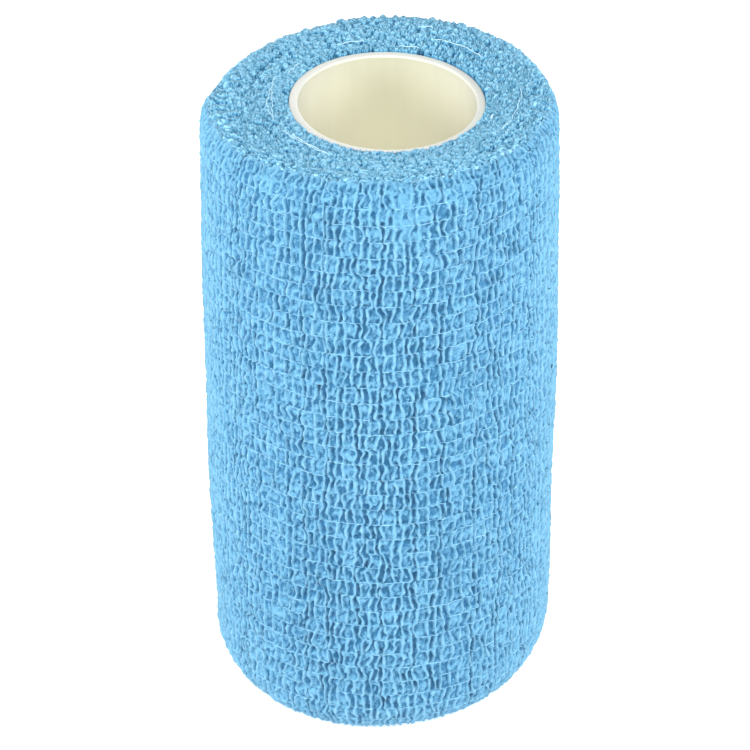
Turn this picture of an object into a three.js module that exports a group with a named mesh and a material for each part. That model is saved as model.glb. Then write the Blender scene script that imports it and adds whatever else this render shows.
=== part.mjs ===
import * as THREE from "three";

// Cohesive bandage roll standing on end: a crepe strip wound on a plastic core.
// Millimetres, +Z up, the lower end on Z = 0, the side seen first towards -Y.

// Wound bandage
const stripWidth = 100; // the strip's width is the roll's height
const rollRadius = 25.5; // wall radius at both ends of the roll
const wallBulge = 0.54; // the middle of the wall stands out this much more
const wallTaper = 0.17; // upper end wider, foot narrower
const layerThickness = 0.65; // one turn of relaxed crepe
const upperRim = 4.9; // rounding of the upper end
const lowerRim = 7.3; // rounding of the lower end
const endAngle = THREE.MathUtils.degToRad(196); // the strip's cut end, at the back
const endStep = 0.4; // how far round the roll the cut end takes to drop one layer
const leanRight = 0.89; // the upper end stands higher on the right
const leanFront = 0.42; // and a little higher in front
const leanFrom = 60; // height where the lean begins
const firstTurnDrop = 0.6; // the first turn sits this far below the upper end
const reliefChange = 0.35; // how much the groups of turns rise and sink round the roll

// Core
const coreOuter = 14.05;
const coreInner = 12.75;
const coreLength = 99.3;
const coreOffset = 0.98; // the core's axis is off the roll's axis, to the right
const coreBevel = 0.72; // inside edge of each rim
const bevelBow = 0.35; // the bevel is a little rounded
const coreEdge = 0.2; // broken outer edge of each rim
const coreClearance = 0.3; // between the core and the first turn

// Divisions
const roundColumns = 96;
const coreColumns = 72;
const wallRows = 22;
const rimRows = 7;

// Soft low lumps of the wall: waves round the roll, waves up it, start and depth.
const lumps = [
  { round: 2, up: 0.9, start: 0.4, depth: 0.16 },
  { round: 3, up: 1.7, start: 2.1, depth: 0.12 },
  { round: 5, up: 2.6, start: 4.0, depth: 0.07 },
];

// Groups of turns at the upper end: place from bore to rim, and how far they stand proud.
const turnGroups = [
  { place: 0.03, proud: -0.2 },
  { place: 0.14, proud: 0.12 },
  { place: 0.26, proud: 0.22 },
  { place: 0.33, proud: -0.16 },
  { place: 0.46, proud: 0.24 },
  { place: 0.58, proud: 0.1 },
  { place: 0.64, proud: -0.2 },
  { place: 0.78, proud: 0.2 },
  { place: 0.9, proud: -0.1 },
];

const boreRadius = coreOuter + coreClearance;
const clamp = THREE.MathUtils.clamp;

function wallRadius(height) {
  const level = (2 * height) / stripWidth - 1;
  return rollRadius + wallBulge * (1 - level * level) + wallTaper * level;
}

function lumpDepth(angle, height) {
  const rise = (2 * Math.PI * height) / stripWidth;
  return lumps.reduce(
    (sum, lump) => sum + lump.depth * Math.sin(lump.round * angle + lump.up * rise + lump.start),
    0,
  );
}

// Outline of the wound bandage, foot to top, then in over the upper end and down the bore.
function rollOutline() {
  const outline = [];
  const add = (radius, height, proud = 0, place = 0) => outline.push({ radius, height, proud, place });
  for (let row = 0; row <= rimRows; row++) {
    const turn = (row / rimRows) * (Math.PI / 2);
    const height = lowerRim * (1 - Math.cos(turn));
    add(wallRadius(height) - lowerRim * (1 - Math.sin(turn)), height);
  }
  const straight = stripWidth - upperRim - lowerRim;
  for (let row = 1; row < wallRows; row++) {
    const height = lowerRim + (straight * row) / wallRows;
    add(wallRadius(height), height);
  }
  for (let row = 0; row <= rimRows; row++) {
    const turn = (row / rimRows) * (Math.PI / 2);
    const height = stripWidth - upperRim * (1 - Math.sin(turn));
    add(wallRadius(height) - upperRim * (1 - Math.cos(turn)), height);
  }
  const faceEdge = rollRadius + wallTaper - upperRim;
  for (const { place, proud } of turnGroups.toReversed()) {
    add(boreRadius + (faceEdge - boreRadius) * place, stripWidth, proud, place);
  }
  add(boreRadius, stripWidth - firstTurnDrop);
  add(boreRadius, stripWidth / 2);
  add(boreRadius, 0);
  outline.push(outline[0]);
  return outline;
}

// Each point of the lathe is moved to its place on the spiral, leaning, lumpy roll.
function woundRoll() {
  const outline = rollOutline();
  const profile = outline.map(({ radius, height }) => new THREE.Vector2(radius, height));
  const geometry = new THREE.LatheGeometry(profile, roundColumns);
  const position = geometry.getAttribute("position");
  const stepShare = endStep / (2 * Math.PI * rollRadius);
  for (let index = 0; index < position.count; index++) {
    const { radius, height, proud, place } = outline[index % outline.length];
    const column = Math.floor(index / outline.length) % roundColumns;
    const share = column / (roundColumns - 1);
    const angle = endAngle + 2 * Math.PI * share * (1 - stepShare);
    const outward = clamp((radius - boreRadius) / (rollRadius - boreRadius), 0, 1);
    const spiral = layerThickness * (share - 0.5) + lumpDepth(angle, height);
    const reach = radius + outward * spiral;
    const x = reach * Math.sin(angle) + (1 - outward) * coreOffset;
    const y = -reach * Math.cos(angle);
    const lift = Math.max(0, (height - leanFrom) / (stripWidth - leanFrom));
    const lean = (lift * (leanRight * x - leanFront * y)) / rollRadius;
    const relief = proud * (1 - reliefChange * (1 - Math.cos(2 * angle + 5 * place)));
    position.setXYZ(index, x, y, height + lean + relief);
  }
  return geometry;
}

function coreTube() {
  const profile = [
    [coreOuter - coreEdge, 0],
    [coreOuter, coreEdge],
    [coreOuter, coreLength - coreEdge],
    [coreOuter - coreEdge, coreLength],
    [coreInner + coreBevel, coreLength],
    [coreInner + bevelBow * coreBevel, coreLength - bevelBow * coreBevel],
    [coreInner, coreLength - coreBevel],
    [coreInner, coreBevel],
    [coreInner + bevelBow * coreBevel, bevelBow * coreBevel],
    [coreInner + coreBevel, 0],
    [coreOuter - coreEdge, 0],
  ].map(([radius, height]) => new THREE.Vector2(radius, height));
  const geometry = new THREE.LatheGeometry(profile, coreColumns);
  return geometry.rotateX(Math.PI / 2).translate(coreOffset, 0, 0);
}

function matte(colour, roughness) {
  return new THREE.MeshStandardMaterial({ color: colour, roughness });
}

const roll = new THREE.Group();
const bandage = new THREE.Mesh(woundRoll(), matte(0x74b4dc, 0.95));
bandage.name = "bandage_roll";
const core = new THREE.Mesh(coreTube(), matte(0xe9e6cf, 0.5));
core.name = "core_tube";
roll.add(bandage, core);

// The origin is under the middle of the roll.
const middle = new THREE.Box3().setFromObject(roll).getCenter(new THREE.Vector3());
for (const piece of roll.children) {
  piece.geometry.translate(-middle.x, -middle.y, 0);
}

export default roll;
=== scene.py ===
import math

import bpy
import numpy as np
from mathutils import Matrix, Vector


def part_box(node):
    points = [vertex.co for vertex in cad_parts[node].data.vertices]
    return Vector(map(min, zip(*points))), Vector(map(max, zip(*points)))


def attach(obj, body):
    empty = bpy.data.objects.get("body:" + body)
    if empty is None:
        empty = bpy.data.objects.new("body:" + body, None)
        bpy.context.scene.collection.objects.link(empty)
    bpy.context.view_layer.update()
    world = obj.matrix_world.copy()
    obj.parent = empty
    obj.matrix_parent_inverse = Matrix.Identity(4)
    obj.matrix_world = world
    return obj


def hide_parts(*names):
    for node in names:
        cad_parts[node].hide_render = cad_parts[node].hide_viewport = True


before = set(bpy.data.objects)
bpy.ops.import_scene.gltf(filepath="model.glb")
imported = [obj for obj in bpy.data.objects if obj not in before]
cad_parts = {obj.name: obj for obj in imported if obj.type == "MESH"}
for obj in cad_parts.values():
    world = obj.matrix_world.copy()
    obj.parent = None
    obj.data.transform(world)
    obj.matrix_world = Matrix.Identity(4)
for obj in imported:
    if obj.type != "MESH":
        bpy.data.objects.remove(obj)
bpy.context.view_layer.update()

mm = 0.001

# The wound form, in millimetres, as the solid has it
rollForm = dict(
    height=100.0, radius=25.5, bulge=0.54, taper=0.17,
    layer=0.65,                                   # one turn of the strip
    upperRim=4.9, lowerRim=7.3,
    endAngle=196.0,                               # the strip's cut end; 0 is in front, 90 on the right
    leanRight=0.89, leanFront=0.42, leanFrom=60.0,
    coreRadius=14.05, coreGap=0.3, coreOffset=0.98,
    lumps=[                                       # waves round, waves up, start, depth
        (2, 0.9, 0.4, 0.16),
        (3, 1.7, 2.1, 0.12),
        (5, 2.6, 4.0, 0.07),
    ],
)
boreRadius = rollForm["coreRadius"] + rollForm["coreGap"]
wallMiddle = 26.0                                 # mean radius of the wall
turnLength = 2 * math.pi * wallMiddle

coreLow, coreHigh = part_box("core_tube")
coreX = (coreLow.x + coreHigh.x) / 2 / mm
coreY = (coreLow.y + coreHigh.y) / 2 / mm
coreTop = coreHigh.z / mm
rollX, rollY = coreX - rollForm["coreOffset"], coreY


class Wire:                                       # a shader socket that takes part in sums
    def __init__(self, tree, socket=None):
        self.tree, self.socket = tree, socket

    def node(self, kind, settings=None, sockets=None, out=0):
        made = self.tree.nodes.new("ShaderNode" + kind)
        for name, value in (settings or {}).items():
            setattr(made, name, value)
        for name, value in (sockets or {}).items():
            if isinstance(value, Wire):
                self.tree.links.new(value.socket, made.inputs[name])
            else:
                made.inputs[name].default_value = value
        return Wire(self.tree, made.outputs[out] if made.outputs else None)

    def math(self, operation, first, second):
        return self.node("Math", dict(operation=operation), {0: first, 1: second})

    def __add__(self, other):
        return self.math("ADD", self, other)

    def __sub__(self, other):
        return self.math("SUBTRACT", self, other)

    def __rsub__(self, other):
        return self.math("SUBTRACT", other, self)

    def __mul__(self, other):
        return self.math("MULTIPLY", self, other)

    __radd__ = __add__
    __rmul__ = __mul__

    def clamp(self):
        return self.node("Clamp", None, {0: self})

    def mix(self, low, high, blend="MIX"):        # colour between low and high by this value
        settings = dict(data_type="RGBA", blend_type=blend)
        return self.node("Mix", settings, {0: self, 6: low, 7: high}, out=2)

    def field(self, name):                        # a value kept on the mesh's points
        return self.node("Attribute", dict(attribute_name=name), out=2)


def rgb(red, green, blue):                        # screen colour, 0 to 255, to the shader's linear colour
    def linear(part):
        return ((part / 255 + 0.055) / 1.055) ** 2.4 if part > 10 else part / 255 / 12.92
    return (linear(red), linear(green), linear(blue), 1)


def startMaterial(name):
    material = bpy.data.materials.new(name)
    material.use_nodes = True
    material.node_tree.nodes.clear()
    return material, Wire(material.node_tree)


def endMaterial(wire, settings):
    shader = wire.node("BsdfPrincipled", None, settings)
    wire.node("OutputMaterial", None, {0: shader})


# Curves and noise that the forms are made from
farApart = 1000.0                                 # lines this many mm apart share no waves


def smooth(value):
    value = np.clip(value, 0, 1)
    return value * value * (3 - 2 * value)


def bell(distance, width):
    return np.exp(-((distance / width) ** 2))


def paintedShadeOf(rise, own):                            # painted shade and highlight: 0, darkest, in the hollows, 1, palest, on the crests
    return np.clip((rise - own["toneLow"]) / own["toneSpan"], 0, 1)


def bandNoise(shape, spacing, shortest, longest, seed):    # waves between two lengths in mm, spread of 1
    white = np.fft.fft2(np.random.default_rng(seed).normal(size=shape))
    rowWaves, columnWaves = (np.fft.fftfreq(count, gap) for count, gap in zip(shape, spacing))
    waves = np.hypot(rowWaves[:, None], columnWaves[None])
    keep = np.exp(-((waves * shortest) ** 4)) * (1 - np.exp(-((waves * longest) ** 4)))
    noise = np.fft.ifft2(white * keep).real
    return noise / noise.std()


# Meridian: the line from the bore out under the foot, up the wall, over the rim and in to the bore again
meridianPoints = dict(end=30, rim=61, wall=121)


def wallRadius(height):
    level = 2 * height / rollForm["height"] - 1
    return rollForm["radius"] + rollForm["bulge"] * (1 - level**2) + rollForm["taper"] * level


def drawMeridian():
    own, top = meridianPoints, rollForm["height"]
    low, up = rollForm["lowerRim"], rollForm["upperRim"]
    turn = np.radians(np.linspace(0, 90, own["rim"]))
    lowHigh = low * (1 - np.cos(turn))
    wallHigh = np.linspace(low, top - up, own["wall"])[1:-1]
    rimHigh = top - up * (1 - np.sin(turn))
    lowOut = wallRadius(lowHigh) - low * (1 - np.sin(turn))
    rimOut = wallRadius(rimHigh) - up * (1 - np.cos(turn))
    footIn = np.linspace(boreRadius, lowOut[0], own["end"])[:-1]
    faceIn = np.linspace(rimOut[-1], boreRadius, own["end"])[1:]
    radius = np.concatenate([footIn, lowOut, wallRadius(wallHigh), rimOut, faceIn])
    height = np.concatenate([footIn * 0, lowHigh, wallHigh, rimHigh, faceIn * 0 + top])
    length = np.concatenate([[0], np.cumsum(np.hypot(np.diff(radius), np.diff(height)))])
    alongR, alongZ = np.gradient(radius, length), np.gradient(height, length)
    size = np.hypot(alongR, alongZ)
    return dict(
        length=length, radius=radius, height=height,
        out=(alongZ / size).clip(0), up=-alongR / size,       # which way the surface faces
        foot=length[len(footIn)],                             # where the lower rim starts
        wallHigh=length[-len(rimOut) - len(faceIn)],          # where the upper rim starts
    )


meridian = drawMeridian()


def onMeridian(along, name):
    return np.interp(along, meridian["length"], meridian[name])


# How far the cloth is drawn in from the plain form, in mm
drawnIn = dict(
    wall=0.1, upperRight=0.5, rightFrom=40.0, rightBlend=35.0,
    foot=0.12, footRight=0.75, footLeft=-0.6, footHeight=9.0,
)


def drawIn(angle, along):
    own = drawnIn
    height = onMeridian(along, "height")
    onRight = smooth((np.sin(angle) - 0.1) / 0.7) * smooth((np.cos(angle) + 0.5) / 0.5)
    onRight = onRight * smooth((height - own["rightFrom"]) / own["rightBlend"])
    low = own["foot"] + own["footRight"] * np.maximum(0, np.sin(angle + 0.2))
    low = low + own["footLeft"] * np.maximum(0, -np.sin(angle))
    low = low * (1 - smooth((height - 0.5) / own["footHeight"]))
    return (own["wall"] + own["upperRight"] * onRight + low) * onMeridian(along, "out") ** 0.5


def onRoll(angle, share, along, rise):            # points on the roll, in metres
    own = rollForm
    rise = rise - drawIn(angle, along)
    radius = onMeridian(along, "radius") + rise * onMeridian(along, "out")
    height = onMeridian(along, "height") + rise * onMeridian(along, "up")
    outward = np.clip((radius - boreRadius) / (own["radius"] - boreRadius), 0, 1)
    climb = 2 * math.pi * height / own["height"]
    lumpy = 0
    for waves, up, start, depth in own["lumps"]:
        lumpy = lumpy + depth * np.sin(waves * angle + up * climb + start)
    reach = radius + outward * (own["layer"] * (share - 0.5) + lumpy)
    x = reach * np.sin(angle) + (1 - outward) * own["coreOffset"]
    y = -reach * np.cos(angle)
    lift = np.maximum(0, (height - own["leanFrom"]) / (own["height"] - own["leanFrom"]))
    z = height + lift * (own["leanRight"] * x - own["leanFront"] * y) / own["radius"]
    return np.stack([x + rollX, y + rollY, np.maximum(z, 0)], -1) * mm


def gridFaces(rows, columns, closed=False):
    wide = columns if closed else columns - 1
    row, column = np.meshgrid(np.arange(rows - 1), np.arange(wide), indexing="ij")
    nextColumn = (column + 1) % columns
    corners = [row * columns + column, row * columns + nextColumn,
               (row + 1) * columns + nextColumn, (row + 1) * columns + column]
    return np.stack(corners, -1).reshape(-1, 4)


def makeMesh(name, points, faces, material, fields=None, uv=None):
    points = np.asarray(points, np.float32).reshape(-1, 3)
    mesh = bpy.data.meshes.new(name)
    mesh.vertices.add(len(points))
    mesh.vertices.foreach_set("co", points.ravel())
    mesh.loops.add(faces.size)
    mesh.loops.foreach_set("vertex_index", faces.astype(np.int32).ravel())
    mesh.polygons.add(len(faces))
    mesh.polygons.foreach_set("loop_start", np.arange(0, faces.size, faces.shape[1], dtype=np.int32))
    mesh.update(calc_edges=True)
    mesh.validate()
    mesh.polygons.foreach_set("use_smooth", np.ones(len(mesh.polygons), bool))
    for field, values in (fields or {}).items():
        attribute = mesh.attributes.new(field, "FLOAT", "POINT")
        attribute.data.foreach_set("value", values.astype(np.float32).ravel())
    if uv is not None:
        layer = mesh.uv_layers.new(name="OFBake")
        layer.data.foreach_set("uv", uv.reshape(-1, 2)[faces.ravel()].astype(np.float32).ravel())
    mesh.materials.append(material)
    piece = bpy.data.objects.new(name, mesh)
    bpy.context.scene.collection.objects.link(piece)
    return piece


def fit(piece, node=None):                  # every piece rides on the one body
    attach(piece, "root")
    if node:
        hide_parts(node)
    print("made", piece.name, len(piece.data.polygons), "faces")
    return piece


# Cloth
# deep, body and crest are picked by how high the cloth stands: painted shade in the hollows, painted
# highlight on the crests
crepeCloth = dict(
    deep=rgb(45, 99, 136), body=rgb(99, 154, 184), crest=rgb(125, 170, 197),
    pressed=rgb(84, 140, 172),
    fibreSize=0.4, fibreBump=0.28, fibreSpread=1.15,
    patchScale=130.0, patchSpread=0.2,
    sheen=0.18, sheenTint=rgb(190, 218, 238),
)
# the ends' painted shade and highlight, with more contrast
endCloth = dict(
    crepeCloth, sheen=0.1,
    deep=rgb(36, 93, 131), body=rgb(95, 158, 190), crest=rgb(140, 192, 218),
)


def clothMaterial(name, look):
    material, wire = startMaterial(name)
    place = wire.node("TexCoord", out=3)
    rise, press = wire.field("rise"), wire.field("press")
    fibre = wire.node("TexNoise", None, {
        0: place, "Scale": 1 / (look["fibreSize"] * mm), "Detail": 4.0, "Roughness": 0.65, "Distortion": 1.6,
    })
    patch = wire.node("TexNoise", None, {0: place, "Scale": look["patchScale"], "Detail": 3.0})
    # the "rise" field holds painted shade and highlight; the fibre and patch noise are the cloth's own grain
    # and mottling
    tone = (rise + (fibre - 0.5) * look["fibreSpread"] + (patch - 0.5) * look["patchSpread"]).clamp()
    lower = wire.node("MapRange", dict(interpolation_type="SMOOTHSTEP"), {0: tone, 1: 0.0, 2: 0.5})
    upper = wire.node("MapRange", dict(interpolation_type="SMOOTHSTEP"), {0: tone, 1: 0.45, 2: 1.0})
    colour = upper.mix(lower.mix(look["deep"], look["body"]), look["crest"])
    colour = (press * (0.3 + fibre * 0.6)).mix(colour, look["pressed"])
    grain = wire.node("Bump", None, {"Strength": 0.7, "Distance": look["fibreBump"] * mm, "Height": fibre})
    endMaterial(wire, {
        "Base Color": colour, "Roughness": 0.95 - fibre * 0.15, "Normal": grain,
        "Specular IOR Level": 0.1,
        "Sheen Weight": look["sheen"], "Sheen Roughness": 0.45, "Sheen Tint": look["sheenTint"],
    })
    return material


# Crepe wall: the outermost turn of the strip, drawn up into pleats between its elastic threads
crepe = dict(
    pleats=138, pleatPitch=1.1,
    threadRows=38, rowPitch=2.63, lastRows=(0.58, 0.33),      # the last row is cut short by the edge
    acrossPleat=(0, 0.11, 0.25, 0.42, 0.58, 0.75, 0.89),
    nearRidge=(0, 0.14, 0.37, 9, 9, 0.37, 0.14),  # mm from the ridge that these lines keep within
    alongRow=(0, 0.07, 0.18, 0.33, 0.5, 0.67, 0.82, 0.93),
    widthSpread=0.27, widthLimits=(0.55, 1.8), leastGap=0.44, pushes=12,
    drift=0.15, driftTogether=0.14,               # how the pleats jump from row to row
    driftSize=(1.6, 9.0), driftSpacing=(0.3, 2.6),
    calmRows=7, calm=0.35,                        # less so in the last rows
    joinShare=0.3, join=(0.05, 0.2),              # neighbours that lean together at a thread
    openShare=0.4, opened=(0.06, 0.2),            # and stand apart between threads
    bow=0.17, twist=0.1, lean=0.11, sway=0.07, swaySize=(0.5, 1.4),
    flow=0.08, flowSize=(1.6, 4.5), flowTogether=2.5,         # neighbours bend the same way
    ridge=0.27, ridgeWidth=0.135, ridgeAtThread=(0.0, 0.5), highest=0.34,
    bead=0.28, beadSize=(0.8, 4.0), beadLimits=(0.15, 1.6),   # ridges swell along their length
    faded=1.4, fadeSize=(1.8, 8.0), fadeTo=0.15,              # and some fade
    valley=-0.14, valleyAtThread=(0.25, 1.0), valleySpread=0.4, valleySize=(0.9, 5.0),
    cellDepth=(0.8, 1.3),                         # how deep one row of a valley is beside the next
    groove=-0.18, grooveAt=0.4, grooveWidth=0.18, grooveSize=(0.9, 3.0),
    pit=-0.28, pitWidth=0.21, pitSize=(0.65, 1.7), pitWander=0.12,
    nub=0.22, nubWidth=0.12, nubSize=(0.7, 2.2), nubWander=0.1,
    wanderSize=(1.0, 5.0),
    rowUneven=0.05, rowWave=0.04,
    lumps=0.025, lumpSize=(2.0, 9.0), fuzz=0.022, fuzzSize=(0.36, 0.9),
    toneLow=-0.3, toneSpan=0.7,                   # painted shade and highlight: the cloth is painted darkest this low, and palest this far above
    # painted highlight along the upper edge, and painted light that makes the wall paler towards its foot
    edgePaintedHighlight=0.2, footPaintedLight=0.09, paintedLightHeight=25.0,
    sideFlat=0.15, footFlat=0.45, rimFlat=0.25,   # pleats are lower at the sides, foot and rim
    edgeBand=0.9, edgeUneven=0.22, frayed=0.14,   # the upper edge
    edgeProud=1.0, rightProud=0.5, edgeBelow=2.5, edgeAbove=1.2,
    lowerEdge=28.0,                               # degrees round the lower rim that the strip reaches
    tuck=0.012,                                   # share of a turn that runs on under the cut end
    cutUneven=0.15,
    seed=11,
)
# How far the upper edge reaches over its rim: degrees round, degrees over
upperEdge = [
    (0, 69), (45, 67), (75, 58), (90, 48), (120, 36), (180, 30),
    (245, 27), (270, 52), (300, 57), (330, 67), (360, 69),
]
wallParts = [                                     # shares of the turn, from the cut end round
    dict(name="crepe_wall_left", start=0.0, stop=0.25),
    dict(name="crepe_wall_front", start=0.25, stop=0.5),
    dict(name="crepe_wall_right", start=0.5, stop=0.75),
    dict(name="crepe_wall_back", start=0.75, stop=1.0),
]
# Place at the upper front where the cloth is pressed flat, in degrees round and mm up
pressedPatch = dict(angle=7.0, slant=0.12, slantFrom=98.0, halfWidth=1.7, low=90.5, strength=0.68, tone=0.38)


def pleatCrests(rng):                             # where each crest runs, at the threads and between them
    own = crepe
    pleats, rows = own["pleats"], own["threadRows"]
    widths = rng.normal(1, own["widthSpread"], pleats).clip(*own["widthLimits"])
    crestAt = np.concatenate([[0], np.cumsum(widths)]) / widths.sum() * turnLength * (1 + own["tuck"])
    shift = rng.normal(0, own["drift"], (pleats + 1, rows))
    shift += own["driftTogether"] * bandNoise(shift.shape, own["driftSpacing"], *own["driftSize"], seed=68)
    shift[:, -own["calmRows"]:] *= np.linspace(1, own["calm"], own["calmRows"])
    bow = rng.normal(0, own["bow"], shift.shape)
    twist = rng.normal(0, own["twist"], shift.shape)
    lean = rng.normal(0, own["lean"], shift.shape)
    joined = rng.random((pleats, rows + 1)) < own["joinShare"]
    joined = joined * rng.uniform(*own["join"], joined.shape)
    opened = rng.random((pleats, rows)) < own["openShare"]
    opened = opened * rng.uniform(*own["opened"], opened.shape)
    pinch = np.zeros((pleats + 1, rows + 1))
    pinch[:-1] += joined
    pinch[1:] -= joined
    bow[:-1] -= opened
    bow[1:] += opened
    step = np.array(own["alongRow"])
    row = np.append(np.repeat(np.arange(rows), len(step)), rows - 1)
    part = np.append(np.tile(step, rows), 1.0)    # how far along its row, 0 to 1
    swell = np.sin(np.pi * part).clip(0) ** 0.8
    crest = crestAt[:, None] + shift[:, row] + bow[:, row] * swell + lean[:, row] * (2 * part - 1)
    crest = crest + twist[:, row] * np.sin(2 * np.pi * part)
    atThread = np.arange(len(step), len(part) - 1, len(step))
    crest[:, atThread] = (crest[:, atThread - 1] + crest[:, atThread + 1]) / 2
    crest = crest + pinch[:, row] * (1 - part) ** 3 + pinch[:, row + 1] * part**3
    crest[0] = 0
    crest[-1] = crestAt[-1] + own["cutUneven"] * np.sin(np.arange(len(part)) * 0.9)
    for push in range(own["pushes"]):             # crests that come too close push each other apart
        short = np.maximum(0, own["leastGap"] - np.diff(crest, axis=0)) / 2
        crest[:-1] -= short
        crest[1:] += short
    return crest, row, part


def pleatNoise(lines, size, seed):                # waves along each pleat, each pleat with its own
    step = len(crepe["alongRow"])
    samples = crepe["threadRows"] * step + 1
    return bandNoise((lines, samples), (farApart, crepe["rowPitch"] / step), *size, seed)


def pleatField():                                 # way round and height of every point of the pleats
    own = crepe
    rng = np.random.default_rng(own["seed"])
    pleats, rows = own["pleats"], own["threadRows"]
    crest, row, part = pleatCrests(rng)
    gaps = np.diff(crest, axis=0)
    nearThread = np.abs(2 * part - 1)             # 0 between two threads, 1 at a thread

    def atThreads(limits, lines):                 # a value for each thread, kept halfway to the next
        value = rng.uniform(*limits, (lines, rows + 1))
        return np.where(part < 0.5, value[:, row], value[:, row + 1])

    # ridges
    bead = (1 + own["bead"] * pleatNoise(pleats + 1, own["beadSize"], seed=60)).clip(*own["beadLimits"])
    shown = smooth((pleatNoise(pleats + 1, own["fadeSize"], seed=69) + own["faded"]) / 0.4)
    high = own["ridge"] * bead * (own["fadeTo"] + (1 - own["fadeTo"]) * shown)
    kept = atThreads(own["ridgeAtThread"], pleats + 1)
    high = np.minimum(high * (kept + (1 - kept) * (1 - nearThread**5)), own["highest"])

    # valleys, with a groove on each side, pits and nubs
    filled = atThreads(own["valleyAtThread"], pleats)
    hollow = (filled + (1 - filled) * (1 - nearThread**10)) * smooth((gaps - 0.05) / 0.8)
    hollow = hollow * rng.uniform(*own["cellDepth"], (pleats, rows))[:, row]
    wideGap = smooth((gaps - 0.85) / 0.5)         # wide valleys are shallower and have nubs in them
    valley = (1 + own["valleySpread"] * pleatNoise(pleats, own["valleySize"], seed=61)).clip(0, 2.2)
    valley = own["valley"] * valley * hollow * (1.15 - 0.3 * wideGap)
    onLeft = own["groove"] * (1 + pleatNoise(pleats, own["grooveSize"], seed=62)).clip(0) * hollow
    onRight = own["groove"] * (1 + pleatNoise(pleats, own["grooveSize"], seed=63)).clip(0) * hollow
    pits = own["pit"] * smooth((pleatNoise(pleats, own["pitSize"], seed=64) - 0.4) / 1.2) * hollow
    pitAt = 0.5 + own["pitWander"] * pleatNoise(pleats, own["wanderSize"], seed=65)
    nub = own["nub"] * smooth((pleatNoise(pleats, own["nubSize"], seed=66) + 0.1) / 0.9) * wideGap
    nubAt = 0.5 + own["nubWander"] * pleatNoise(pleats, own["wanderSize"], seed=67)

    arcs, rises = [], []
    for across, within in zip(own["acrossPleat"], own["nearRidge"]):
        near = np.minimum(gaps * min(across, 1 - across), within)
        toLeft = near if across < 0.5 else gaps - near
        toRight = gaps - toLeft
        left = np.exp(-((toLeft / own["ridgeWidth"]) ** 1.7))
        right = np.exp(-((toRight / own["ridgeWidth"]) ** 1.7))
        ridges = (high[:-1] * left + high[1:] * right) / (1 + left * right)
        bottom = onLeft * bell(toLeft - own["grooveAt"], own["grooveWidth"])
        bottom = bottom + onRight * bell(toRight - own["grooveAt"], own["grooveWidth"])
        bottom = bottom + valley * np.sin(np.pi * toLeft / gaps)
        bottom = bottom + pits * bell(toLeft - gaps * pitAt, own["pitWidth"])
        arcs.append(crest[:-1] + toLeft)
        rises.append(ridges + bottom + nub * bell(toLeft - gaps * nubAt, own["nubWidth"]))
    columns = pleats * len(own["acrossPleat"])
    arc = np.stack(arcs, 1).reshape(columns, -1)
    rise = np.stack(rises, 1).reshape(columns, -1)
    arc = np.concatenate([arc, crest[-1:]]).T
    rise = np.concatenate([rise, high[-1:]]).T
    return arc, rise, row + part


def stripEdges(angle):                            # where the strip's two edges lie along the meridian
    lower = meridian["foot"] + math.radians(crepe["lowerEdge"]) * rollForm["lowerRim"]
    reach = np.interp(np.degrees(angle) % 360, *zip(*upperEdge))
    return lower, meridian["wallHigh"] + np.radians(reach) * rollForm["upperRim"]


def edgeRise(angle, along):                       # the upper edge stands out in front, less so on the right
    away = along - stripEdges(angle)[1]
    width = np.where(away < 0, crepe["edgeBelow"], crepe["edgeAbove"])
    more = crepe["edgeProud"] - crepe["rightProud"]
    proud = crepe["rightProud"] + more * smooth((0.9 - np.sin(angle)) / 1.2)
    return proud * bell(away, width) * smooth((np.cos(angle) + 0.28) / 0.25)


def pressedFlat(angle, height, spacing):          # how far the cloth is pressed flat, 0 to 1
    own = pressedPatch
    aside = (np.degrees(angle) + 180) % 360 - 180 - own["angle"]
    aside = np.radians(aside) * rollForm["radius"] + own["slant"] * (height - own["slantFrom"])
    ragged = 0.6 * bandNoise(height.shape, spacing, 0.8, 3.0, seed=24)
    press = smooth(1.2 - np.abs(aside) / own["halfWidth"] + ragged)
    return press * smooth((height - own["low"]) / 4 + 0.2) * own["strength"]


def turnIn(field, first, second):                 # two more lines at each edge of a field
    return np.concatenate([[field[0] + second[0], field[0] + first[0]], field,
                           [field[-1] + first[1], field[-1] + second[1]]])


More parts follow.
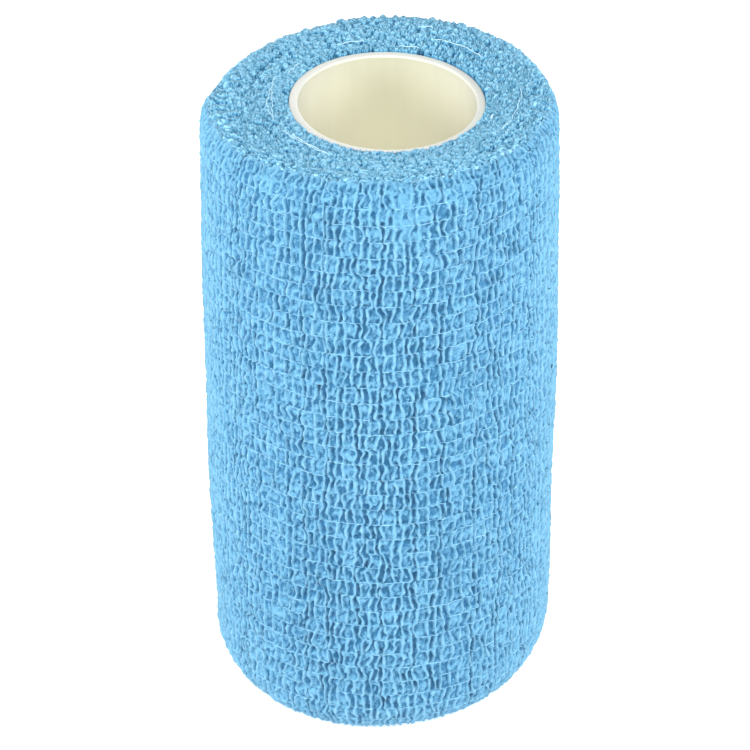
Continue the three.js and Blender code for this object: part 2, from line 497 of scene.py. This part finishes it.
def crepeWall(material):
    own = crepe
    arc, rise, thread = pleatField()
    shape = rise.shape
    spacing = (own["rowPitch"] / len(own["alongRow"]), own["pleatPitch"] / len(own["acrossPleat"]))
    together = (spacing[0], spacing[1] / own["flowTogether"])

    def noise(shortest, longest, seed):
        return bandNoise(shape, spacing, shortest, longest, seed)

    # where the points lie: round the roll, and along the meridian
    flow = own["flow"] * bandNoise(shape, together, *own["flowSize"], seed=28)
    arc[:, 1:-1] += (flow + own["sway"] * noise(*own["swaySize"], seed=20))[:, 1:-1]
    share = arc / turnLength - own["tuck"]
    angle = math.radians(rollForm["endAngle"]) + 2 * math.pi * share
    lower, upper = stripEdges(angle)
    last = own["threadRows"]
    moved = (0, last - 2 + own["lastRows"][0], last - 1 + own["lastRows"][1], last)
    level = np.interp(thread, (0, last - 2, last - 1, last), moved)[:, None] / last
    along = lower + level * (upper - lower) + own["rowUneven"] * noise(0.8, 5.0, seed=23)
    along = along + own["rowWave"] * np.sin(4 * angle + thread[:, None] * 0.7)
    nearEdge = smooth((along - upper + own["edgeBand"]) / own["edgeBand"])
    along = along + own["edgeUneven"] * nearEdge * noise(0.6, 2.2, seed=26)
    height = onMeridian(along, "height")

    # how high they stand, and the painted shade and highlight that go with it
    rise = rise * (1 - own["sideFlat"] * np.sin(angle) ** 4)
    rise = rise * (1 - own["footFlat"] + own["footFlat"] * smooth(height / 6))
    rise = rise * (1 - own["rimFlat"] * smooth((along - meridian["wallHigh"]) / 3))
    edge = edgeRise(angle, along)
    # painted highlight along the upper edge
    tone = paintedShadeOf(rise, own) + own["edgePaintedHighlight"] * nearEdge
    # painted light: the wall is painted paler towards its foot
    tone = tone + own["footPaintedLight"] * (1 - smooth(height / own["paintedLightHeight"]))
    rise = rise + edge + own["lumps"] * noise(*own["lumpSize"], seed=21)
    frayed = edge - 0.1 + own["frayed"] * noise(0.4, 1.2, seed=27)
    rise = rise + (frayed - rise) * nearEdge * 0.85
    rise = rise + own["fuzz"] * noise(*own["fuzzSize"], seed=22)
    press = pressedFlat(angle, height, spacing)
    flat = 0.02 + 0.07 * noise(0.35, 1.6, seed=25)
    rise = rise + (flat + edge - rise) * press
    tone = tone + (pressedPatch["tone"] - tone) * press
    threadLines(angle, share, along, rise)

    # the strip's own thickness, turned in at its edges and at the cut end
    along = turnIn(along, (-0.12, 0.12), (-0.1, 0.1))
    rise = turnIn(rise, (-0.3, -0.3), (-0.9, -0.9))
    rise = np.concatenate([rise, rise[:, -1:] - 0.3, rise[:, -1:] - 0.7], 1)
    angle, share, tone, press = (turnIn(field, (0, 0), (0, 0)) for field in (angle, share, tone, press))
    fields = (angle, share, along, tone, press)
    angle, share, along, tone, press = (np.pad(field, ((0, 0), (0, 2)), "edge") for field in fields)
    points = onRoll(angle, share, along, rise)
    across = len(own["acrossPleat"])

    def cutAt(place):                             # the pieces meet in the middle of a pleat
        return round(own["pleats"] * place) * across + across // 2

    for part in wallParts:
        start = cutAt(part["start"]) if part["start"] > 0 else 0
        stop = cutAt(part["stop"]) if part["stop"] < 1 else points.shape[1] - 1
        cut = slice(start, stop + 1)
        rows, columns = points[:, cut].shape[:2]
        uv = np.stack(np.meshgrid(np.linspace(0, 1, columns), np.linspace(0, 1, rows)), -1)
        # the "rise" field holds the painted shade and highlight, not the height
        fields = dict(rise=tone[:, cut], press=press[:, cut])
        piece = makeMesh(part["name"], points[:, cut], gridFaces(rows, columns), material, fields, uv)
        fit(piece, "bandage_roll")


# Ends: the edges of the turns, curled and crowded together
endTurns = dict(
    columns=900, step=0.09, width=9.6, middle=19.0,
    under=1.0,                                    # how far the face reaches under the strip's edge
    pitch=0.6, edgeWidth=0.145, sunk=-0.12,
    curl=0.27, curlSize=(0.5, 1.2), curlShare=0.2, sharp=2.3, sharpFrom=0.95,
    uneven=0.35, unevenSize=(0.8, 3.0), fine=0.02, fineSize=(0.25, 0.6),
    sway=0.34, swaySize=(0.72, 1.25),
    # painted shade in the gaps between turns, painted highlight on the curled edges
    toneLow=-0.24, toneSpan=0.44,
    gapWidth=0.16, gapSway=0.1,
    coreDrop=0.58, backDrop=0.13, rightDrop=0.55, leastDrop=-0.15, dipWidth=2.6,
    coreTouch=0.27, touchWidth=0.4,               # the first turn lies against the core
    teeth=0.15, teethSize=(0.9, 2.4),             # the outer turns end unevenly, but for the front
    notches=46, notchDepth=0.55, notchReach=0.5,  # gaps beside the core, at the back
    # rings beside the core: how far down, and how much of the tone each keeps under the painted shade
    downCore=(0.35, 1.2, 3.0), downPaintedShade=(0.5, 0.2, 0.0),
)
plainTurns = dict(
    columns=320, step=0.4, width=6.8, middle=18.0,
    under=0.25, sunk=-0.25, wave=0.1, uneven=0.12, unevenSize=(0.8, 3.0),
    # painted shade where the foot face sinks in
    toneLow=-0.5, toneSpan=0.6,
    upCore=(3.0, 0.8), upPaintedShade=(0.0, 0.3),
)
# Turns that stand apart from the next one: mm from the core's axis, degrees round, depth
turnGaps = [
    dict(radius=19.6, start=222, stop=262, depth=0.30),
    dict(radius=18.4, start=286, stop=312, depth=0.34),
    dict(radius=20.6, start=30, stop=70, depth=0.18),
    dict(radius=16.9, start=120, stop=165, depth=0.20),
    dict(radius=21.0, start=170, stop=215, depth=0.22),
]


def onceRound(columns):                           # share of the turn and angle of each column
    share = np.arange(columns)[None] / columns
    return share, math.radians(rollForm["endAngle"]) + 2 * math.pi * share


def coreDip(angle, radius):                       # the turns sink towards the core
    own = endTurns
    drop = own["coreDrop"] - own["backDrop"] * np.cos(angle) + own["rightDrop"] * np.sin(angle)
    return np.maximum(drop, own["leastDrop"]) * bell(radius - boreRadius, own["dipWidth"])


def turnEdges(angle, radius, spacing):
    own, shape = endTurns, radius.shape
    curl = bandNoise(shape, spacing, *own["curlSize"], seed=32)
    sway = bandNoise(shape, spacing, *own["swaySize"], seed=33)
    phase = (radius - boreRadius + own["sway"] * sway) / own["pitch"]
    turn = bell((phase % 1 - 0.5) * own["pitch"], own["edgeWidth"])
    turn = turn * (1 + own["uneven"] * bandNoise(shape, spacing, *own["unevenSize"], seed=34))
    rise = own["curl"] * np.tanh(own["sharp"] * turn - own["sharpFrom"] + own["curlShare"] * curl)
    rise = rise + own["fine"] * bandNoise(shape, spacing, *own["fineSize"], seed=35)
    for gap in turnGaps:
        middle = math.radians((gap["start"] + gap["stop"]) / 2)
        half = math.radians((gap["stop"] - gap["start"]) / 2)
        away = np.abs((angle - middle + math.pi) % (2 * math.pi) - math.pi)
        across = bell(radius - gap["radius"] + own["gapSway"] * sway, own["gapWidth"])
        rise = rise - gap["depth"] * across * smooth((half - away) / math.radians(6))
    return rise


def coreNotches(share, angle):                    # the first turn's pleats leave small gaps beside the core
    rng = np.random.default_rng(31)
    notch = np.zeros(len(share))
    for place in rng.random(endTurns["notches"]):
        away = ((share - place + 0.5) % 1 - 0.5) * 2 * math.pi * boreRadius
        deep = rng.uniform(0.3, 1)
        half = rng.uniform(0.2, 0.4)
        notch = np.maximum(notch, deep * np.clip(1 - np.abs(away) / half, 0, 1))
    return notch * smooth((0.3 - np.cos(angle)) / 0.5)


def ringPiece(name, points, angle, tone, spread, material):
    ring = np.linspace(*spread, len(angle))[:, None]
    uv = np.stack([0.5 + ring * np.sin(angle), 0.5 + ring * np.cos(angle)], -1)
    faces = gridFaces(*angle.shape, closed=True)
    # the "rise" field holds the painted shade and highlight
    piece = makeMesh(name, points, faces, material, dict(rise=tone, press=tone * 0), uv)
    return fit(piece, "bandage_roll")


def endFace(material):
    own = endTurns
    share, angle = onceRound(own["columns"])
    upper = stripEdges(angle)[1]
    outer, inner = upper - own["under"], meridian["length"][-1]
    rows = round(own["width"] / own["step"])
    along = outer + np.linspace(0, 1, rows)[:, None] * (inner - outer)
    radius = onMeridian(along, "radius")
    spacing = (own["step"], 2 * math.pi * own["middle"] / own["columns"])
    rise = turnEdges(angle, radius, spacing)
    # painted shade and highlight from how high the turn edges stand
    tone = paintedShadeOf(rise, own)
    rise = rise + own["sunk"] + edgeRise(angle, along) - coreDip(angle, radius)
    teeth = bandNoise((2, own["columns"]), (farApart, spacing[1]), *own["teethSize"], seed=36)[:1]
    teeth = own["teeth"] * teeth * smooth((upper + 4 - along) / 2)
    rise = rise + teeth * smooth((0.5 - np.cos(angle)) / 0.6)
    rise = rise - 0.5 * (1 - smooth((along - upper + crepe["edgeBand"]) / crepe["edgeBand"]))
    notch = coreNotches(share[0], angle[0])
    nearCore = bell(radius - boreRadius, own["notchReach"])
    along = along - nearCore * own["notchDepth"] * notch
    # painted shade: the cloth is darkened in the notches beside the core
    tone = tone * (1 - 0.9 * notch * nearCore)

    # three more rings go down beside the core, painted darker as they go, a painted shade
    down, paintedShadeFade = np.array(own["downCore"])[:, None], np.array(own["downPaintedShade"])[:, None]
    along = np.concatenate([along, np.repeat(along[-1:], len(down), 0)])
    rise = np.concatenate([rise, rise[-1:] - down])
    tone = np.concatenate([tone, tone[-1:] * paintedShadeFade])
    grid = np.broadcast_to(angle, along.shape)
    points = onRoll(grid, np.broadcast_to(share, along.shape), along, rise)
    touch = own["coreTouch"] / boreRadius * bell(radius - boreRadius, own["touchWidth"]) * (1 - notch)
    touch = np.concatenate([touch, np.repeat(touch[-1:], len(down), 0)])[..., None]
    axis = np.array([coreX, coreY]) * mm
    points[..., :2] = axis + (points[..., :2] - axis) * (1 - touch)
    return ringPiece("end_turns_top", points, grid, tone, (0.49, 0.12), material)


def footFace(material):
    own = plainTurns
    share, angle = onceRound(own["columns"])
    outer = stripEdges(angle)[0] + own["under"] + 0 * angle
    rows = round(own["width"] / own["step"])
    along = np.linspace(0, 1, rows)[:, None] * outer
    radius = onMeridian(along, "radius")
    spacing = (own["step"], 2 * math.pi * own["middle"] / own["columns"])
    rise = own["sunk"] + own["wave"] * np.sin(2 * np.pi * radius / rollForm["layer"] / 2)
    rise = rise + own["uneven"] * bandNoise(along.shape, spacing, *own["unevenSize"], seed=41)
    rise = np.minimum(rise, 0)
    # painted shade: darker where the foot face sinks in
    tone = paintedShadeOf(rise, own)

    # two more rings go up beside the core, painted dark, a painted shade
    up, paintedShadeFade = np.array(own["upCore"])[:, None], np.array(own["upPaintedShade"])[:, None]
    along = np.concatenate([np.repeat(along[:1], len(up), 0), along])
    rise = np.concatenate([rise[:1] - up, rise])
    tone = np.concatenate([tone[:1] * paintedShadeFade, tone])
    grid = np.broadcast_to(angle, along.shape)
    points = onRoll(grid, np.broadcast_to(share, along.shape), along, rise)
    return ringPiece("end_turns_foot", points, grid, tone, (0.12, 0.49), material)


# Core: a plain plastic tube with softened rims
coreSleeve = dict(
    inner=12.75, bevel=0.3, edge=0.18, columns=160, bends=6, outsideRings=14, insideRings=32,
    oval=0.03, rimWave=0.04,
    tiltBack=0.022, tiltRight=0.018, lower=0.25, tiltFrom=30.0,       # the upper rim sits lower at the back
    # painted light: upper, darker, is the bore's colour at its top where more light falls, ivory deeper down
    # where less reaches; rim, paler than the bore just below it, is a painted highlight
    upper=rgb(170, 171, 153), ivory=rgb(213, 210, 182), rim=rgb(196, 197, 190), ivoryFrom=15.0,
    besidePaintedLight=(1.15, 1.15, 1.26, 1),             # painted light: the bore is painted paler at both sides
    drawnScale=420.0, drawnLong=0.12, cloudScale=45.0,        # streaks along the tube, and soft patches
)


def coreMaterial():
    look = coreSleeve
    material, wire = startMaterial("core_plastic")
    place = wire.node("TexCoord", out=3)
    stretch = (1.0, 1.0, look["drawnLong"])
    stretched = wire.node("VectorMath", dict(operation="MULTIPLY"), {0: place, 1: stretch})
    drawn = wire.node("TexNoise", None, {0: stretched, "Scale": look["drawnScale"], "Detail": 3.0})
    cloud = wire.node("TexNoise", None, {0: place, "Scale": look["cloudScale"], "Detail": 2.0})
    # painted light: darker at the bore's upper end, paler deeper down; the cloud and streaks are the
    # plastic's own
    depth = (wire.field("depth") + (cloud - 0.5) * 0.3 + (drawn - 0.5) * 0.2).clamp()
    colour = depth.mix(look["upper"], look["ivory"])
    # painted light on both sides of the bore
    colour = wire.field("beside").mix(colour, look["besidePaintedLight"], "MULTIPLY")
    # painted highlight on the upper rim
    colour = wire.field("rim").mix(colour, look["rim"])
    ripple = wire.node("Bump", None, {"Strength": 0.25, "Distance": 0.05 * mm, "Height": drawn})
    endMaterial(wire, {
        "Base Color": colour, "Roughness": 0.36 + drawn * 0.14, "Normal": ripple,
        "Specular IOR Level": 0.45,
    })
    return material


def corePiece(material):
    own, top, columns = coreSleeve, coreTop, coreSleeve["columns"]
    outer, inner = rollForm["coreRadius"], own["inner"]
    edge, bevel = own["edge"], own["bevel"]
    bend = np.radians(np.linspace(0, 90, own["bends"]))
    bySine, byCosine = 1 - np.sin(bend), 1 - np.cos(bend)
    outside = np.linspace(edge, top - edge, own["outsideRings"])[1:-1]
    inside = np.linspace(1.5, top - bevel, own["insideRings"])[:-1]
    inside = top - np.concatenate([[bevel + 0.15, bevel + 0.6], inside])
    radius = np.concatenate([
        outer - edge * bySine, outer + 0 * outside, outer - edge * byCosine,
        inner + bevel * bySine, inner + 0 * inside, inner + bevel * byCosine,
    ])
    height = np.concatenate([
        edge * byCosine, outside, top - edge * bySine,
        top - bevel * byCosine, inside, bevel * bySine,
    ])
    # where the rim's painted highlight lies, and how far down the painted light goes
    rim = np.clip((height - (top - bevel)) / bevel * 1.4, 0, 1)
    depth = np.clip((top - height) / own["ivoryFrom"], 0, 1) ** 0.35
    angle = 2 * math.pi * np.arange(columns)[None] / columns
    level = height[:, None]
    around = radius[:, None] + own["oval"] * np.sin(2 * angle + 0.6) * np.clip(level / top, 0, 1)
    up = level + own["rimWave"] * np.sin(3 * angle + 1.1) * np.clip((level - top + 3) / 3, 0, 1)
    x, y = around * np.sin(angle), -around * np.cos(angle)
    tilt = own["lower"] + own["tiltBack"] * y + own["tiltRight"] * x
    up = up - tilt * smooth((level - top + own["tiltFrom"]) / own["tiltFrom"])
    points = np.stack([coreX + x, coreY + y, up], -1) * mm
    rings = len(radius)
    faces = gridFaces(rings + 1, columns, closed=True) % (rings * columns)    # the last ring joins the first
    fields = dict(
        rim=np.repeat(rim[:, None], columns, 1),
        depth=np.repeat(depth[:, None], columns, 1),
        # where the painted light on both sides of the bore lies
        beside=np.repeat(np.abs(np.sin(angle)) ** 1.6, rings, 0),
    )
    piece = makeMesh("core_sleeve", points, faces, material, fields)
    return fit(piece, "core_tube")


# Elastic threads
threads = dict(
    radius=0.058, sides=3, atColumns=(0, 3), proud=0.055, highest=0.16,
    hidden=0.16, hiddenSize=(1.2, 8.0), spacing=(2.6, 0.55),
    colour=rgb(114, 170, 201), pale=rgb(158, 207, 229),
    loose=rgb(172, 212, 230), looseTip=rgb(206, 232, 242),
    twistScale=2500.0, driftScale=300.0,
    looseSides=6, looseStep=0.16, looseLift=0.12, looseWave=0.08,
    endSink=0.5, endLength=0.06,                  # both ends go down between the turns
)
# Loose ends of thread on the upper end: mm from the core's axis, degrees round, and how thick
looseThreads = [
    dict(radius=17.2, start=126, stop=159, sway=0.12, thick=0.05),
    dict(radius=17.0, start=246, stop=291, sway=0.32, thick=0.045),
    dict(radius=16.6, start=252, stop=284, sway=0.36, thick=0.045),
    dict(radius=16.9, start=297, stop=333, sway=0.3, thick=0.045),
    dict(radius=16.6, start=304, stop=326, sway=0.3, thick=0.05),
    dict(radius=16.4, start=191, stop=206, sway=0.1, thick=0.05),
    dict(radius=14.9, start=161, stop=174, sway=0.08, thick=0.05),
    dict(radius=18.9, start=68, stop=95, sway=0.24, thick=0.045),
    dict(radius=18.8, start=59, stop=68, sway=0.15, thick=0.05),
    dict(radius=15.7, start=69, stop=73, sway=0.1, thick=0.11),
    dict(radius=19.6, start=160, stop=167, sway=0.2, thick=0.045),
    dict(radius=15.9, start=232, stop=243, sway=0.2, thick=0.045),
]


def threadMaterial(name, colour, pale):
    material, wire = startMaterial(name)
    place = wire.node("TexCoord", out=3)
    twist = wire.node("TexNoise", None, {0: place, "Scale": threads["twistScale"], "Detail": 2.0})
    drift = wire.node("TexNoise", None, {0: place, "Scale": threads["driftScale"], "Detail": 2.0})
    colour = (twist * 0.5 + drift * 0.5).mix(colour, pale)
    cord = wire.node("Bump", None, {"Strength": 0.4, "Distance": 0.03 * mm, "Height": twist})
    endMaterial(wire, {
        "Base Color": colour, "Roughness": 0.5 + twist * 0.2, "Normal": cord,
        "Specular IOR Level": 0.3,
    })
    return material


def tube(centres, thick, sides):                  # points and faces of a thread along a line
    ahead = np.gradient(centres, axis=0)
    ahead /= np.linalg.norm(ahead, axis=1, keepdims=True)
    side = np.cross(ahead, [0.0, 0.0, 1.0])
    side /= np.linalg.norm(side, axis=1, keepdims=True)
    up = np.cross(side, ahead)
    turn = 2 * math.pi * np.arange(sides)[None, :, None] / sides
    ring = thick * (np.cos(turn) * side[:, None] + np.sin(turn) * up[:, None])
    return (centres[:, None] + ring).reshape(-1, 3), gridFaces(len(centres), sides, closed=True)


def threadPiece(name, tubes, material):           # many threads as one piece
    allPoints, allFaces, count = [], [], 0
    for points, faces in tubes:
        allPoints.append(points)
        allFaces.append(faces + count)
        count += len(points)
    piece = makeMesh(name, np.concatenate(allPoints), np.concatenate(allFaces), material)
    return fit(piece)


def threadLines(angle, share, along, rise):       # the elastic threads, seen where they cross the valleys
    own = threads
    across, every = len(crepe["acrossPleat"]), len(crepe["alongRow"])
    keep = [place for place in range(angle.shape[1]) if place % across in own["atColumns"]]
    lines = np.ix_(range(0, angle.shape[0], every), keep)
    sunk = own["hidden"] * bandNoise(rise[lines].shape, own["spacing"], *own["hiddenSize"], seed=52)
    low = np.minimum(rise[lines] + own["proud"] - np.abs(sunk), own["highest"])
    centres = onRoll(angle[lines], share[lines], along[lines], low)
    material = threadMaterial("elastic_thread", own["colour"], own["pale"])
    tubes = [tube(line, own["radius"] * mm, own["sides"]) for line in centres[1:-1]]
    return threadPiece("elastic_threads", tubes, material)


def looseEnds(material):
    own = threads
    rng = np.random.default_rng(51)
    tubes = []
    for thread in looseThreads:
        span = math.radians(thread["stop"] - thread["start"])
        steps = max(8, round(span * thread["radius"] / own["looseStep"]))
        place = np.linspace(0, 1, steps)
        angle = math.radians(thread["start"]) + span * place
        wave = 0
        for rank, rate in enumerate((11, 37, 83), 1):
            wave = wave + np.sin(angle * rate + rng.uniform(0, 6.3)) / rank
        radius = thread["radius"] + thread["sway"] * 0.5 * wave
        lift = own["looseLift"] + own["looseWave"] * np.sin(angle * 31 + rng.uniform(0, 6.3))
        lift = lift - coreDip(angle, radius)
        lift = lift - own["endSink"] * bell(place, own["endLength"])
        lift = lift - own["endSink"] * bell(1 - place, own["endLength"])
        x = rollForm["coreOffset"] + radius * np.sin(angle)
        y = -radius * np.cos(angle)
        lean = (rollForm["leanRight"] * x - rollForm["leanFront"] * y) / rollForm["radius"]
        line = np.stack([x + rollX, y + rollY, rollForm["height"] + lean + lift], -1) * mm
        tubes.append(tube(line, thread["thick"] * mm, own["looseSides"]))
    return threadPiece("loose_threads", tubes, material)


# Studio
studio = dict(
    floorPale=(0.92, 0.92, 0.92, 1), floorDeep=(0.9, 0.9, 0.9, 1), floorGlow=0.4,
    floorHalf=3.0, floorDrop=0.0002,              # in metres
    worldStrength=0.44,
    distance=650.0, elevation=36.17, aimHeight=50.0, lens=209.61,
    shift=(-0.00725, 0.00687),
)
lamps = [
    dict(name="lamp_left", place=(-620, -260, 260), aim=(0, 0, 50), size=420, power=4.9),
    dict(name="lamp_right", place=(620, -220, 260), aim=(0, 0, 50), size=420, power=4.45),
    dict(name="lamp_back", place=(60, 700, 90), aim=(0, 0, 45), size=420, power=3.0),
    dict(name="lamp_top", place=(10, -570, 580), aim=(0, 0, 80), size=200, power=6.1),
]


def aimAt(piece, target):
    away = Vector(target) - piece.location
    piece.rotation_euler = away.to_track_quat("-Z", "Y").to_euler()


def makeLamps():
    world = bpy.data.worlds.new("studio")
    bpy.context.scene.world = world
    world.use_nodes = True
    background = world.node_tree.nodes["Background"]
    background.inputs[0].default_value = (1, 1, 1, 1)
    background.inputs[1].default_value = studio["worldStrength"]
    for lamp in lamps:
        light = bpy.data.lights.new(lamp["name"], "AREA")
        light.shape, light.size, light.energy = "DISK", lamp["size"] * mm, lamp["power"]
        holder = bpy.data.objects.new(lamp["name"], light)
        bpy.context.scene.collection.objects.link(holder)
        holder.location = [value * mm for value in lamp["place"]]
        aimAt(holder, [value * mm for value in lamp["aim"]])


def makeFloor():
    material, wire = startMaterial("floor_paper")
    grain = wire.node("TexNoise", None, {"Scale": 60.0, "Detail": 3.0})
    shade = grain.mix(studio["floorDeep"], studio["floorPale"])
    endMaterial(wire, {
        "Base Color": shade, "Roughness": 0.9, "Specular IOR Level": 0.1,
        "Emission Color": shade, "Emission Strength": studio["floorGlow"],
    })
    half = studio["floorHalf"]
    corners = np.array([(-half, -half, 0), (half, -half, 0), (half, half, 0), (-half, half, 0)])
    floor = makeMesh("floor", corners, np.array([[0, 1, 2, 3]]), material)
    floor.location.z = -studio["floorDrop"]


def makeCamera():
    camera = bpy.data.objects.new("camera", bpy.data.cameras.new("camera"))
    bpy.context.scene.collection.objects.link(camera)
    rise = math.radians(studio["elevation"])
    back = studio["distance"] * math.cos(rise) * mm
    up = studio["distance"] * math.sin(rise) * mm
    aim = (rollX * mm, rollY * mm, studio["aimHeight"] * mm)
    camera.location = (aim[0], aim[1] - back, aim[2] + up)
    aimAt(camera, aim)
    camera.data.lens, camera.data.sensor_width = studio["lens"], 36.0
    camera.data.shift_x, camera.data.shift_y = studio["shift"]
    camera.data.clip_start, camera.data.clip_end = 0.01, 20.0
    bpy.context.scene.camera = camera
    bpy.context.scene.view_settings.view_transform = "Standard"


makeLamps()
makeFloor()
makeCamera()
print("studio ready")
crepeWall(clothMaterial("crepe_cloth", crepeCloth))
endsCloth = clothMaterial("crepe_ends", endCloth)
endFace(endsCloth)
footFace(endsCloth)
corePiece(coreMaterial())
looseEnds(threadMaterial("loose_thread", threads["loose"], threads["looseTip"]))
